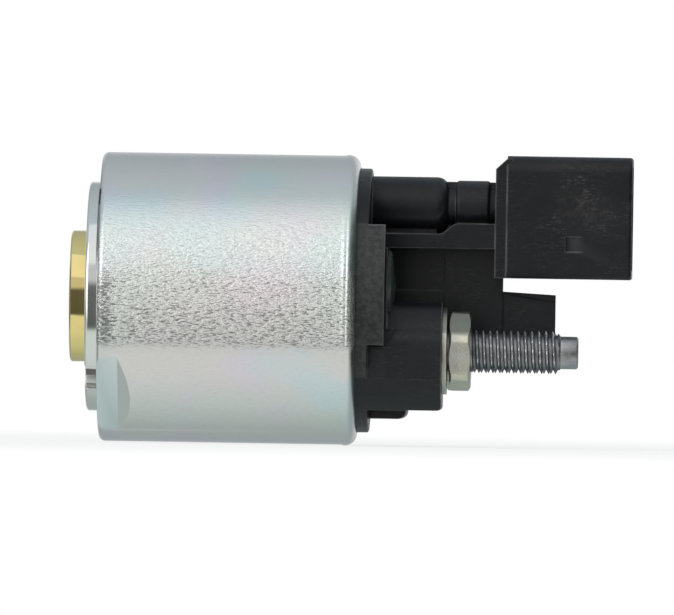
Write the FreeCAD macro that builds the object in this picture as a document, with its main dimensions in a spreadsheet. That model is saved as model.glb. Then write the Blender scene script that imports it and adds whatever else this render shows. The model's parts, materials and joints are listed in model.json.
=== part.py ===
import FreeCAD, Part

import math
import os
from types import SimpleNamespace

import Sketcher
from FreeCAD import Placement, Rotation, Vector

# Starter solenoid, in millimetres.
# The axis of the can is X, from the mounting face at X = 0 to the terminals, and +Z is up.
# Each piece is a body of its own, and its sizes come from the sheet "dims".

# A size that follows from others has a formula in place of a number.
DIMENSIONS = (
    # Steel can
    ("can_radius", 26.0, "outside of the can"),
    ("can_wall", 3.0, "wall of the can round the coil"),
    ("can_bore_radius", "=can_radius - can_wall", "inside of that wall"),
    ("can_lip_wall", 1.5, "wall of the can behind the pole plate"),
    ("can_seat_radius", "=can_radius - can_lip_wall", "inside of that wall"),
    ("can_front", 2.3, "front face of the can behind the mounting face"),
    ("can_front_wall", 6.5, "back of the can's front wall"),
    ("can_back", 48.7, "back end of the rolled lip"),
    ("can_seat_depth", 11.3, "from there in to the shoulder that the pole plate seats on"),
    ("can_seat", "=can_back - can_seat_depth", "place of that shoulder"),
    ("can_front_round", 1.1, "round of the front edge"),
    ("lip_round", 2.15, "round of the rolled lip"),
    ("lip_thickness", 1.5, "thickness of the rolled lip"),
    ("lip_overhang", 0.6, "how far the rolled lip stands in over its wall"),
    ("lip_bore_radius", "=can_seat_radius - lip_overhang", "opening in the rolled lip"),
    ("lip_swell", 0.15, "growth of the can's radius beside the lip"),
    ("lip_swell_length", 2.9, "length of that growth, up to the lip's end"),
    ("face_step", 5.4, "raised mounting face inside the can's edge"),
    ("face_radius", "=can_radius - face_step", "raised mounting face"),
    ("face_round", 0.6, "round of the mounting face's edge"),
    ("flat_depth", 1.7, "depth of the locating flat"),
    ("flat_end", 6.1, "end of the flat's level part"),
    ("flat_run_out", 2.3, "length of the slope behind the flat"),
    ("flat_angle", 46.0, "flat and locating hole below the horizontal, degrees"),
    ("rim_notch_width", 4.0, "notch in the front edge"),
    ("rim_notch_depth", 0.4, "depth of that notch"),
    ("rim_notch_inset", 1.4, "where that notch begins inside the can's edge"),
    ("locating_hole_radius", 2.95, "locating hole that breaks through the face's edge"),
    ("locating_hole_inset", 1.2, "its axis inside the mounting face's edge"),
    ("locating_hole_depth", 4.5, "its depth"),
    ("screw_circle_radius", 16.5, "circle of the mounting screws"),
    ("screw_hole_radius", 2.1, "tapping hole of an M5 thread"),
    ("screw_hole_depth", 5.4, "its depth"),
    ("screw_count", 3.0, "number of mounting screws"),
    # Guide sleeve and plunger
    ("sleeve_radius", 11.8, "outside of the guide sleeve"),
    ("sleeve_wall", 1.0, "wall of the guide sleeve"),
    ("sleeve_stand", 3.1, "how far the sleeve stands out of the mounting face"),
    ("sleeve_chamfer", 0.3, "chamfer of the sleeve's front edge"),
    ("sleeve_collar", 0.3, "step in the sleeve's outside behind the mounting face"),
    ("bore_lead_in", 0.6, "chamfer in the can's bore that the sleeve is pressed in by"),
    ("plunger_length", 19.4, "length of the plunger"),
    ("plunger_recess", 1.4, "plunger's front behind the sleeve's front at rest"),
    ("plunger_chamfer", 0.8, "chamfer of the plunger's front edge"),
    ("plunger_travel", 10.0, "full stroke of the plunger"),
    ("plunger_bore_radius", 6.6, "spring bore in the plunger"),
    ("plunger_bore_depth", 9.0, "depth of the spring bore"),
    ("link_socket_radius", 3.0, "socket for the pulling link"),
    ("link_socket_depth", 6.5, "depth of that socket"),
    # Core and pole plate
    ("plate_thickness", 3.0, "pole plate"),
    ("core_tail_radius", 8.0, "tail of the core in the pole plate"),
    ("core_gap", 0.3, "gap between plunger and core at full stroke"),
    ("spring_seat_depth", 1.5, "spring seat in the core"),
    ("rod_radius", 2.5, "contact rod"),
    # Coil
    ("bobbin_wall", 0.9, "wall of the bobbin's tube"),
    ("bobbin_flange", 1.6, "thickness of the bobbin's flanges"),
    ("winding_margin", 2.9, "radial room round the windings for bobbin, wrap and air"),
    ("winding_depth", "=can_bore_radius - sleeve_radius - winding_margin", "both windings"),
    ("pull_in_share", 0.58, "the pull-in winding's share of that depth"),
    ("pull_in_depth", "=winding_depth * pull_in_share", "radial depth of the pull-in winding"),
    ("hold_in_depth", "=winding_depth - pull_in_depth", "radial depth of the hold-in winding"),
    ("wrap_thickness", 0.5, "wrap round the windings"),
    # Contact set, measured at rest
    ("rod_nose_gap", 0.15, "gap between plunger and rod at full stroke"),
    ("contact_travel", 2.5, "stroke of the contact set"),
    ("collar_radius", 4.2, "collar on the rod"),
    ("collar_thickness", 1.0, "thickness of that collar"),
    ("collar_gap", 0.4, "collar behind the pole plate at rest"),
    ("pressure_spring_length", 2.2, "contact pressure spring"),
    ("insulator_thickness", 0.8, "flange of the insulating bush, and its washer"),
    ("insulator_radius", 6.2, "flange of the insulating bush"),
    ("insulating_washer_radius", 4.9, "insulating washer behind the bridge"),
    ("insulator_tube_radius", 3.9, "tube of the insulating bush"),
    ("bridge_thickness", 1.7, "contact bridge"),
    ("bridge_half_length", 13.6, "half length of the bridge"),
    ("bridge_half_height", 4.5, "half height of the bridge"),
    ("clip_thickness", 0.6, "clip on the rod"),
    ("clip_radius", 4.2, "outside of the clip"),
    ("rod_end_length", 0.8, "end of the rod past the clip"),
    # Terminal cap
    ("gasket_thickness", 0.8, "gasket between pole plate and cap"),
    ("gasket_width", 3.0, "width of the gasket"),
    ("cap_side_gap", 0.1, "cap inside the can's wall"),
    ("cap_shoulder_radius", "=can_seat_radius - cap_side_gap", "part of the cap held under the lip"),
    ("cap_lip_gap", 0.15, "cap inside the lip's opening"),
    ("cap_rim_radius", "=lip_bore_radius - cap_lip_gap", "flange of the cap behind the lip"),
    ("cap_stand", 2.15, "how far the flange stands behind the lip"),
    ("cap_back", "=can_back + cap_stand", "back face of the cap's flange"),
    ("cap_rim_round", 0.4, "round of the flange's edge"),
    ("cap_floor", 2.55, "thickness of the cap's floor"),
    ("chamber_wall", 3.8, "wall round the contact chamber"),
    ("chamber_radius", "=cap_shoulder_radius - chamber_wall", "contact chamber"),
    ("plinth_height", 3.35, "plinth over the contacts"),
    ("plinth_back", "=cap_back + plinth_height", "back face of the plinth"),
    ("plinth_inset", 5.75, "sides of the plinth inside the flange's edge"),
    ("plinth_half_width", "=cap_rim_radius - plinth_inset", "half width of the plinth"),
    ("plinth_low", -15.0, "lower edge of the plinth"),
    ("plinth_high", 9.5, "upper edge of the plinth"),
    ("rim_wall_height", 2.95, "rim walls over the flange"),
    ("rim_wall_back", "=cap_back + rim_wall_height", "back face of the rim walls"),
    ("rim_wall_thickness", 4.35, "rim walls at their thickest"),
    ("rim_wall_inside", "=cap_rim_radius - rim_wall_thickness", "inner face of the rim walls"),
    ("rim_wall_low", -8.0, "lower end of the rim walls"),
    ("rim_wall_high", 15.0, "upper end of the rim walls"),
    # Terminals
    ("stud_half_spacing", 10.0, "stud axes each side of the middle"),
    ("stud_height", -8.85, "height of the stud axes"),
    ("stud_radius", 4.0, "M8 thread"),
    ("stud_head_gap", 0.15, "bridge to stud heads at full stroke"),
    ("stud_head_thickness", 3.0, "stud head"),
    ("stud_head_half_width", 4.2, "half width of the head"),
    ("stud_head_low", 4.6, "head below the stud's axis"),
    ("stud_head_high", 12.6, "head above the stud's axis"),
    ("stud_shank_radius", 3.6, "shank, and the thread inside the nut, at the pitch line"),
    ("stud_stand", 21.3, "end of the thread over the face that the washer lies on"),
    ("stud_thread_end", "=terminal_face + stud_stand", "end of the thread"),
    ("stud_tip_radius", 2.92, "plain tip of the stud"),
    ("stud_tip_length", 3.1, "length of the tip"),
    ("stud_end", "=stud_thread_end + stud_tip_length", "end of the tip"),
    ("stud_chamfer", 0.8, "chamfer at the thread's end"),
    ("motor_setback", 1.0, "how much lower the motor terminal stands"),
    ("terminal_rise", 13.25, "terminal blocks over the flange"),
    ("terminal_face", "=cap_back + terminal_rise", "face that the washer lies on"),
    ("washer_radius", 7.8, "washer"),
    ("washer_play", 0.2, "hole of the washer round the thread"),
    ("washer_thickness", 0.85, "washer"),
    ("washer_slack", 0.45, "room between the loose washer and the nut"),
    ("nut_across_flats", 13.0, "M8 thin nut"),
    ("nut_thickness", 3.8, "nut"),
    ("nut_corner_radius", 7.15, "nut over its corners, that are turned off"),
    ("nut_chamfer", 0.4, "chamfer of the nut's corners, along the axis"),
    ("nut_turn", 42.0, "turn of the nut, degrees"),
    ("seal_radius", 5.6, "outside of the ring under a stud head"),
    ("seal_thickness", 1.2, "that ring"),
    ("block_inset", 4.55, "sides of the terminal block inside the flange's edge"),
    ("block_half_width", "=cap_rim_radius - block_inset", "terminal block"),
    ("block_top", -4.5, "top of the terminal block"),
    ("block_bottom", -19.6, "bottom of the terminal block"),
    ("block_top_round", 3.0, "round of the block's top edges"),
    ("block_corner_round", 0.9, "round of the block's lower back edge"),
    ("block_shoulder", -8.3, "height where the block's slanted edge begins"),
    ("block_shoulder_rise", 3.25, "place over the flange where that edge begins"),
    ("block_shoulder_run", 2.1, "length of that edge along the axis"),
    ("boss_radius", 8.75, "round boss about a stud"),
    ("foot_bottom", -21.2, "bottom of the foot under the block"),
    ("foot_length", 6.85, "length of the foot over the flange"),
    ("foot_half_width", 9.0, "foot"),
    ("foot_round", 1.5, "round of the foot's end"),
    # Duct between cap and plug socket
    ("duct_radius", 5.15, "large part of the duct"),
    ("duct_height", 17.25, "axis of the large part"),
    ("duct_length", 13.85, "length of the large part over the flange"),
    ("duct_back", "=cap_back + duct_length", "end of the large part"),
    ("duct_round", 2.2, "round of that end"),
    ("neck_radius", 4.6, "barrel of the neck"),
    ("neck_root_radius", 3.7, "neck either side of the barrel"),
    ("neck_groove", 1.25, "groove between the large part and the barrel"),
    ("neck_front", "=duct_back + neck_groove", "front end of the barrel"),
    ("neck_length", 6.15, "length of the barrel"),
    ("neck_back", "=neck_front + neck_length", "back end of the barrel"),
    ("neck_round", 0.6, "round of the barrel's ends"),
    ("stem_half_width", 3.0, "stem that carries the duct"),
    ("spine_half_width", 1.5, "spine along the top of the duct and its neck"),
    ("spine_top", 21.6, "top of that spine"),
    ("ledge_half_width", 6.2, "ledge under the duct"),
    ("ledge_low", 9.6, "bottom of the ledge"),
    ("ledge_front_top", 12.2, "top of the ledge beside the large part"),
    ("ledge_back_top", 14.1, "top of the ledge beside the neck"),
    ("ledge_step_lead", 1.1, "start of the ledge's rise before the large part's end"),
    ("ledge_step", "=duct_back - ledge_step_lead", "place where the ledge's top starts to rise"),
    ("ledge_step_run", 2.3, "length of that rise"),
    ("ledge_step_round", 1.4, "rounds of that rise"),
    ("web_half_width", 1.8, "web under the ledge, past the terminal blocks"),
    ("web_root_half_width", 1.1, "web beside the resin"),
    ("web_overlap", 1.45, "web under the socket's shoulder"),
    ("web_back", "=shoulder_front + web_overlap", "back end of the web"),
    ("tongue_half_width", 1.3, "partition between the terminals"),
    ("tongue_stand", 9.5, "length of the partition past the web"),
    ("tongue_back", "=web_back + tongue_stand", "back end of the partition"),
    ("tongue_bevel", 1.4, "height of the thinner top of the partition at its end"),
    ("tongue_bevel_start", 2.0, "start of that thinner top before the web's end"),
    ("tongue_top_half_width", 0.75, "thinner top of the partition"),
    ("tongue_low", -12.0, "bottom of the partition"),
    ("tongue_high", 2.0, "top of the partition at the web"),
    ("tongue_fall", 0.5, "fall of its top towards the back"),
    # Plug socket
    ("shoulder_gap", 1.05, "groove between the duct's barrel and the socket's shoulder"),
    ("shoulder_front", "=neck_back + shoulder_gap", "front of the socket's shoulder"),
    ("shoulder_length", 2.05, "length of the shoulder"),
    ("socket_front", "=shoulder_front + shoulder_length", "front of the socket's shroud"),
    ("socket_length", 22.5, "length of the shroud"),
    ("socket_back", "=socket_front + socket_length", "mouth of the socket"),
    ("socket_low", 4.4, "bottom of the socket"),
    ("socket_high", 26.4, "top of the socket"),
    ("socket_half_width", 7.6, "half width of the socket"),
    ("shoulder_inset", 0.5, "shoulder inside the shroud's sides"),
    ("shoulder_chamfer", 1.9, "chamfer on the shoulder's top"),
    ("socket_wall", 1.7, "wall of the shroud"),
    ("socket_depth", 17.0, "depth of the socket"),
    ("socket_top_round", 3.0, "upper corners of the shroud"),
    ("socket_low_round", 1.0, "lower corners of the shroud"),
    ("mouth_round", 0.5, "round of the mouth's outer edge"),
    ("latch_setback", 11.9, "front of the latch pocket behind the mouth"),
    ("latch_front", "=socket_back - latch_setback", "front of the latch pocket"),
    ("latch_length", 3.4, "length of the latch pocket"),
    ("latch_low", 9.3, "bottom of the latch pocket"),
    ("latch_high", 12.0, "top of the latch pocket"),
    ("latch_depth", 0.8, "depth of the latch pocket"),
    ("blade_half_spacing", 3.6, "blades above and below the socket's middle"),
    ("blade_half_height", 1.4, "half height of a blade"),
    ("blade_half_thickness", 0.4, "half thickness of a blade"),
    ("blade_root", 6.0, "length of a blade held in the moulding"),
    ("blade_inset", 6.0, "tip of a blade behind the mouth"),
    ("blade_point", 0.9, "length of a blade's point"),
    # Resin and coil lead
    ("resin_radius", 6.8, "resin over the coil lead"),
    ("resin_offset", 5.0, "its middle beside the coil lead"),
    ("resin_side", "=lead_side + resin_offset", "its middle, sideways"),
    ("resin_height", 2.4, "its middle, upwards"),
    ("resin_crown", 1.4, "height of its crown"),
    ("lead_radius", 0.5, "coil lead"),
    ("lead_inset", 4.7, "coil lead inside the contact chamber's wall"),
    ("lead_side", "=lead_inset - chamber_radius", "coil lead, sideways"),
    ("lead_height", 2.4, "coil lead, upwards"),
    # Springs
    ("return_wire", 0.6, "wire radius of the plunger's spring"),
    ("return_spring_radius", 5.5, "mean radius of that spring"),
    ("return_turns", 6.0, "its turns"),
    ("pressure_wire", 0.35, "wire radius of the contact pressure spring"),
    ("pressure_spring_radius", 3.3, "its mean radius"),
    ("pressure_turns", 2.0, "its turns"),
    ("contact_wire", 0.3, "wire radius of the contact return spring"),
    ("contact_spring_radius", 3.4, "its mean radius"),
    ("contact_turns", 3.0, "its turns"),
    ("contact_spring_pocket", 5.3, "radius of its pocket in the cap"),
    # Clearances
    ("running_gap", 0.08, "radial gap of a sliding fit"),
    ("seat_gap", 0.03, "gap between pieces that are held together"),
    ("free_gap", 0.3, "gap round a piece that must not touch"),
)


# Sides of the section that stands for a spring's round wire
SPRING_SIDES = 6


class Size:
    """A number together with the sheet expression that gives it."""

    def __init__(self, value, text):
        self.value = float(value)
        self.text = text

    def joined(self, other, sign, value):
        return Size(value, f"({self.text} {sign} {as_size(other).text})")

    def __add__(self, other):
        return self.joined(other, "+", self.value + as_size(other).value)

    def __sub__(self, other):
        return self.joined(other, "-", self.value - as_size(other).value)

    def __mul__(self, other):
        return self.joined(other, "*", self.value * as_size(other).value)

    def __truediv__(self, other):
        return self.joined(other, "/", self.value / as_size(other).value)

    def __neg__(self):
        return self * -1

    def turned(self, degrees, function):
        """This size times the cosine or sine of a Size in degrees."""
        factor = getattr(math, function)(math.radians(degrees.value))
        return Size(self.value * factor, f"({self.text} * {function}({degrees.text} * 1 deg))")


def as_size(number):
    return number if isinstance(number, Size) else Size(number, repr(float(number)))


def make_sheet():
    """Write the sheet and give each of its sizes as a named value."""
    sheet = doc.addObject("Spreadsheet::Sheet", "dims")
    sheet.Label = "dims"
    for row, (name, _, meaning) in enumerate(DIMENSIONS, start=1):
        sheet.set(f"A{row}", meaning)
        sheet.setAlias(f"B{row}", name)
    for row, (_, number, _) in enumerate(DIMENSIONS, start=1):
        sheet.set(f"B{row}", str(number))
    doc.recompute()
    return SimpleNamespace(**{name: Size(sheet.get(name), f"dims.{name}") for name, _, _ in DIMENSIONS})


def bind(item, path, size):
    item.setExpression(path, as_size(size).text)


def new_body(label, side=0, height=0):
    """A body of its own, whose X axis lies at the given side and height."""
    body = doc.addObject("PartDesign::Body", label)
    body.Label = label
    side = as_size(side)
    height = as_size(height)
    body.Placement = Placement(Vector(0, side.value, height.value), Rotation())
    bind(body, "Placement.Base.y", side)
    bind(body, "Placement.Base.z", height)
    return body


def new_sketch(body, role, lift=0, turn=None):
    """A sketch on an origin plane: lifted along its normal, or turned about its first axis."""
    sketch = body.newObject("Sketcher::SketchObject", f"{body.Label}_sketch")
    plane = next(item for item in body.Origin.OriginFeatures if item.Role == role)
    sketch.AttachmentSupport = [(plane, "")]
    sketch.MapMode = "FlatFace"
    lift = as_size(lift)
    angle = turn.value if turn else 0
    sketch.AttachmentOffset = Placement(Vector(0, 0, lift.value), Rotation(Vector(1, 0, 0), angle))
    bind(sketch, "AttachmentOffset.Base.z", lift)
    if turn:
        bind(sketch, "AttachmentOffset.Rotation.Angle", turn)
    return sketch


def place_point(sketch, item, end, across, up):
    for kind, size in (("DistanceX", across), ("DistanceY", up)):
        index = sketch.addConstraint(Sketcher.Constraint(kind, -1, 1, item, end, size.value))
        bind(sketch, f"Constraints[{index}]", size)


def add_circle(sketch, radius, across=0, up=0):
    radius, across, up = as_size(radius), as_size(across), as_size(up)
    centre = Vector(across.value, up.value, 0)
    item = sketch.addGeometry(Part.Circle(centre, Vector(0, 0, 1), radius.value), False)
    index = sketch.addConstraint(Sketcher.Constraint("Radius", item, radius.value))
    bind(sketch, f"Constraints[{index}]", radius)
    place_point(sketch, item, 3, across, up)


def corner_arc(before, point, after, radius):
    """Arc of this radius in a corner: (arc, start of the arc, end of the arc, runs left)."""
    back = (before - point).normalize()
    ahead = (after - point).normalize()
    half = back.getAngle(ahead) / 2
    run = radius / math.tan(half)
    start = point + back * run
    end = point + ahead * run
    centre = point + (back + ahead).normalize() * (radius / math.sin(half))
    left = (point - before).cross(after - point).z > 0
    first, last = (start, end) if left else (end, start)
    angles = [math.atan2(p.y - centre.y, p.x - centre.x) for p in (first, last)]
    circle = Part.Circle(centre, Vector(0, 0, 1), radius)
    return Part.ArcOfCircle(circle, *angles), start, end, left


def add_outline(sketch, corners):
    """A closed outline through corners (across, up) or (across, up, radius of the round)."""
    corners = [tuple(as_size(size) for size in corner) for corner in corners]
    points = [Vector(corner[0].value, corner[1].value, 0) for corner in corners]
    count = len(corners)
    arcs = {
        i: corner_arc(points[i - 1], points[i], points[(i + 1) % count], corner[2].value)
        for i, corner in enumerate(corners)
        if len(corner) > 2
    }
    lines = []
    for i in range(count):
        after = (i + 1) % count
        start = arcs[i][2] if i in arcs else points[i]
        end = arcs[after][1] if after in arcs else points[after]
        lines.append(sketch.addGeometry(Part.LineSegment(start, end), False))
    for i, corner in enumerate(corners):
        before, after = lines[i - 1], lines[i]
        if i not in arcs:
            sketch.addConstraint(Sketcher.Constraint("Coincident", before, 2, after, 1))
            place_point(sketch, after, 1, corner[0], corner[1])
            continue
        arc, _, _, left = arcs[i]
        item = sketch.addGeometry(arc, False)
        first, last = (1, 2) if left else (2, 1)
        sketch.addConstraint(Sketcher.Constraint("Tangent", before, 2, item, first))
        sketch.addConstraint(Sketcher.Constraint("Tangent", item, last, after, 1))
        index = sketch.addConstraint(Sketcher.Constraint("Radius", item, corner[2].value))
        bind(sketch, f"Constraints[{index}]", corner[2])
        mark = sketch.addGeometry(Part.Point(points[i]), True)
        place_point(sketch, mark, 1, corner[0], corner[1])
        sketch.addConstraint(Sketcher.Constraint("PointOnObject", mark, 1, before))
        sketch.addConstraint(Sketcher.Constraint("PointOnObject", mark, 1, after))


def box_corners(low_across, high_across, low_up, high_up):
    return (
        (low_across, low_up),
        (high_across, low_up),
        (high_across, high_up),
        (low_across, high_up),
    )


def extrude(body, sketch, length, name, kind="Pad", both_ways=False):
    """Pad or pocket along the sketch's normal, or half to each side of the sketch."""
    doc.recompute()
    volume = body.Shape.Volume if body.Tip else 0
    feature = body.newObject(f"PartDesign::{kind}", name)
    feature.Profile = sketch
    bind(feature, "Length", length)
    feature.Length = as_size(length).value
    if both_ways:
        feature.SideType = "Symmetric"
    elif kind == "Pocket":
        feature.Reversed = True
    body.Tip = feature
    doc.recompute()
    change = feature.Shape.Volume - volume
    if (change > 0) != (kind == "Pad") or not change:
        raise ValueError(f"{body.Label}: {name} changes the volume by {change}")
    return feature


def pad_box(body, name, start, length, sides, heights):
    """A block along X, from start, between two sides and two heights."""
    sketch = new_sketch(body, "YZ_Plane", start)
    add_outline(sketch, box_corners(*sides, *heights))
    return extrude(body, sketch, length, name)


def cut_box(body, name, start, length, sides, heights):
    sketch = new_sketch(body, "YZ_Plane", start)
    add_outline(sketch, box_corners(*sides, *heights))
    return extrude(body, sketch, length, name, "Pocket")


def cut_hole(body, name, start, length, radius, side=0, height=0):
    sketch = new_sketch(body, "YZ_Plane", start)
    add_circle(sketch, radius, side, height)
    return extrude(body, sketch, length, name, "Pocket")


def pad_profile(body, name, corners, width):
    """A block whose outline is seen from the side, as wide as stated about the middle."""
    sketch = new_sketch(body, "XZ_Plane")
    add_outline(sketch, corners)
    return extrude(body, sketch, width, name, both_ways=True)


def revolve(body, corners, name, height=0):
    """Turn an outline of (X, distance from the axis) about a line along X at this height."""
    sketch = new_sketch(body, "XZ_Plane")
    height = as_size(height)
    add_outline(sketch, [(corner[0], height + corner[1], *corner[2:]) for corner in corners])
    axis = sketch.addGeometry(Part.LineSegment(Vector(0, height.value), Vector(1, height.value)), True)
    place_point(sketch, axis, 1, as_size(0), height)
    place_point(sketch, axis, 2, as_size(1), height)
    feature = body.newObject("PartDesign::Revolution", name)
    feature.Profile = sketch
    feature.ReferenceAxis = (sketch, ["Axis0"])
    feature.Angle = 360
    body.Tip = feature
    doc.recompute()
    return feature


def turned_piece(label, corners, side=0, height=0):
    body = new_body(label, side, height)
    revolve(body, corners, f"{label}_turned")
    return body


def ring(label, start, end, inner, outer, side=0, height=0):
    return turned_piece(label, box_corners(start, end, inner, outer), side, height)


def repeat_round(body, feature, count, name):
    pattern = body.newObject("PartDesign::PolarPattern", name)
    pattern.Originals = [feature]
    pattern.Axis = (feature.Profile[0], ["N_Axis"])
    pattern.Angle = 360
    pattern.Occurrences = int(as_size(count).value)
    bind(pattern, "Occurrences", count)
    body.Tip = pattern
    doc.recompute()
    return pattern


def round_edges(body, name, radius, chosen, kind="Fillet"):
    """Round or chamfer the edges that the test picks by their two ends."""
    doc.recompute()
    base = body.Tip
    names = [f"Edge{i}" for i, edge in enumerate(base.Shape.Edges, start=1) if chosen(edge)]
    if not names:
        raise ValueError(f"{body.Label}: no edge for {name}")
    feature = body.newObject(f"PartDesign::{kind}", name)
    feature.Base = (base, names)
    path = "Radius" if kind == "Fillet" else "Size"
    setattr(feature, path, as_size(radius).value)
    bind(feature, path, radius)
    body.Tip = feature
    doc.recompute()
    return feature


def near(number, size, slack=0.02):
    return abs(number - as_size(size).value) < slack


def along_x(edge):
    box = edge.BoundBox
    return box.XLength > 1e-3 and box.YLength < 1e-3 and box.ZLength < 1e-3


def coil_spring(label, start, length, wire, mean_radius, turns):
    """A helical spring along X that just fits between start and start + length."""
    body = new_body(label)
    sketch = new_sketch(body, "XZ_Plane")
    corner = wire / math.cos(math.pi / SPRING_SIDES)
    add_outline(sketch, [
        (start + wire + corner * math.cos(angle), mean_radius + corner * math.sin(angle))
        for angle in (math.pi * (2 * side + 1) / SPRING_SIDES for side in range(SPRING_SIDES))
    ])
    coil = body.newObject("PartDesign::AdditiveHelix", f"{label}_coil")
    coil.Profile = sketch
    coil.ReferenceAxis = (sketch, ["H_Axis"])
    coil.Mode = "height-turns-growth"
    rise = length - wire * 2
    coil.Height = rise.value
    bind(coil, "Height", rise)
    coil.Turns = turns.value
    bind(coil, "Turns", turns)
    coil.Growth = 0
    body.Tip = coil
    doc.recompute()
    return body


def make_casing():
    body = new_body("casing")
    bore = d.sleeve_radius - d.sleeve_collar + d.seat_gap
    revolve(body, (
        (d.bore_lead_in, bore),
        (0, bore + d.bore_lead_in),
        (0, d.face_radius, d.face_round),
        (d.can_front, d.face_radius),
        (d.can_front, d.can_radius, d.can_front_round),
        (d.can_back - d.lip_swell_length, d.can_radius),
        (d.can_back - d.lip_round - d.lip_swell, d.can_radius + d.lip_swell),
        (d.can_back, d.can_radius + d.lip_swell, d.lip_round),
        (d.can_back, d.lip_bore_radius),
        (d.can_back - d.lip_thickness, d.lip_bore_radius),
        (d.can_back - d.lip_thickness, d.can_seat_radius),
        (d.can_seat, d.can_seat_radius),
        (d.can_seat, d.can_bore_radius),
        (d.can_front_wall, d.can_bore_radius),
        (d.can_front_wall, bore),
    ), "can")
    cut_locating_flat(body)
    cut_rim_notch(body)
    place = d.face_radius - d.locating_hole_inset
    cut_hole(body, "locating_hole", 0, d.locating_hole_depth, d.locating_hole_radius,
             -place.turned(d.flat_angle, "cos"), -place.turned(d.flat_angle, "sin"))
    screw = cut_hole(body, "screw_hole", 0, d.screw_hole_depth, d.screw_hole_radius,
                     d.screw_circle_radius.turned(d.flat_angle, "cos"),
                     d.screw_circle_radius.turned(d.flat_angle, "sin"))
    repeat_round(body, screw, d.screw_count, "screw_holes")


def cut_locating_flat(body):
    """Flat milled in the front edge of the can, with a slope where it runs out."""
    level = d.can_radius - d.flat_depth
    over = d.can_radius + 1
    sketch = new_sketch(body, "XZ_Plane", turn=d.flat_angle + 90)
    add_outline(sketch, (
        (d.can_front - 1, level),
        (d.flat_end, level),
        (d.flat_end + d.flat_run_out, d.can_radius),
        (d.flat_end + d.flat_run_out, over),
        (d.can_front - 1, over),
    ))
    extrude(body, sketch, d.can_radius * 2, "locating_flat", "Pocket", both_ways=True)


def cut_rim_notch(body):
    sketch = new_sketch(body, "XZ_Plane", turn=-d.flat_angle + 91)
    add_outline(sketch, box_corners(
        d.can_front - 1, d.can_front + d.rim_notch_depth,
        d.can_radius - d.rim_notch_inset, d.can_radius + 1,
    ))
    extrude(body, sketch, d.rim_notch_width, "rim_notch", "Pocket", both_ways=True)


def make_sleeve():
    front = -d.sleeve_stand
    inner = d.sleeve_radius - d.sleeve_wall
    back = d.can_seat - d.free_gap
    turned_piece("guide_sleeve", (
        (front, inner),
        (front, d.sleeve_radius - d.sleeve_chamfer),
        (front + d.sleeve_chamfer, d.sleeve_radius),
        (-d.running_gap, d.sleeve_radius),
        (-d.running_gap, d.sleeve_radius - d.sleeve_collar),
        (back, d.sleeve_radius - d.sleeve_collar),
        (back, inner),
    ))


def make_plunger():
    front = d.plunger_recess - d.sleeve_stand
    radius = d.sleeve_radius - d.sleeve_wall - d.running_gap
    back = front + d.plunger_length
    turned_piece("plunger", (
        (front, d.link_socket_radius),
        (front, radius - d.plunger_chamfer),
        (front + d.plunger_chamfer, radius),
        (back, radius),
        (back, d.plunger_bore_radius),
        (back - d.plunger_bore_depth, d.plunger_bore_radius),
        (back - d.plunger_bore_depth, 0),
        (front + d.link_socket_depth, 0),
        (front + d.link_socket_depth, d.link_socket_radius),
    ))


def make_core():
    radius = d.sleeve_radius - d.sleeve_wall - d.seat_gap
    hole = d.rod_radius + d.running_gap
    turned_piece("fixed_core", (
        (nose, d.plunger_bore_radius),
        (nose, radius),
        (d.can_seat - d.seat_gap, radius),
        (d.can_seat - d.seat_gap, d.core_tail_radius),
        (plate_back, d.core_tail_radius),
        (plate_back, hole),
        (nose + d.spring_seat_depth, hole),
        (nose + d.spring_seat_depth, d.plunger_bore_radius),
    ))


def make_pole_plate():
    body = ring("pole_plate", d.can_seat, plate_back,
                d.core_tail_radius + d.seat_gap, d.can_seat_radius - d.seat_gap)
    cut_hole(body, "lead_hole", d.can_seat - 1, d.plate_thickness + 2,
             d.lead_radius + d.free_gap, d.lead_side, d.lead_height)


def make_coil():
    """The bobbin, its two windings and the wrap, each in the groove of the one before."""
    front = d.can_front_wall + d.seat_gap
    back = d.can_seat - d.seat_gap
    inner = d.sleeve_radius - d.sleeve_collar + d.seat_gap
    tube = inner + d.bobbin_wall
    rim = d.can_bore_radius - d.free_gap
    left = front + d.bobbin_flange
    right = back - d.bobbin_flange
    body = turned_piece("coil_bobbin", (
        (front, inner),
        (front, rim),
        (left, rim),
        (left, tube),
        (right, tube),
        (right, rim),
        (back, rim),
        (back, inner),
    ))
    cut_hole(body, "lead_hole", right - 1, d.bobbin_flange + 2,
             d.lead_radius + d.seat_gap, d.lead_side, d.lead_height)
    start = left + d.seat_gap
    end = right - d.seat_gap
    first = tube + d.seat_gap
    second = first + d.pull_in_depth + d.seat_gap
    third = second + d.hold_in_depth + d.seat_gap
    ring("pull_in_winding", start, end, first, first + d.pull_in_depth)
    ring("hold_in_winding", start, end, second, second + d.hold_in_depth)
    ring("winding_wrap", start, end, third, third + d.wrap_thickness)


def make_contact_rod():
    collar_front = plate_back + d.collar_gap
    turned_piece("contact_rod", (
        (rod_front, 0),
        (rod_front, d.rod_radius),
        (collar_front, d.rod_radius),
        (collar_front, d.collar_radius),
        (collar_front + d.collar_thickness, d.collar_radius),
        (collar_front + d.collar_thickness, d.rod_radius),
        (rod_back, d.rod_radius),
        (rod_back, 0),
    ))


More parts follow.
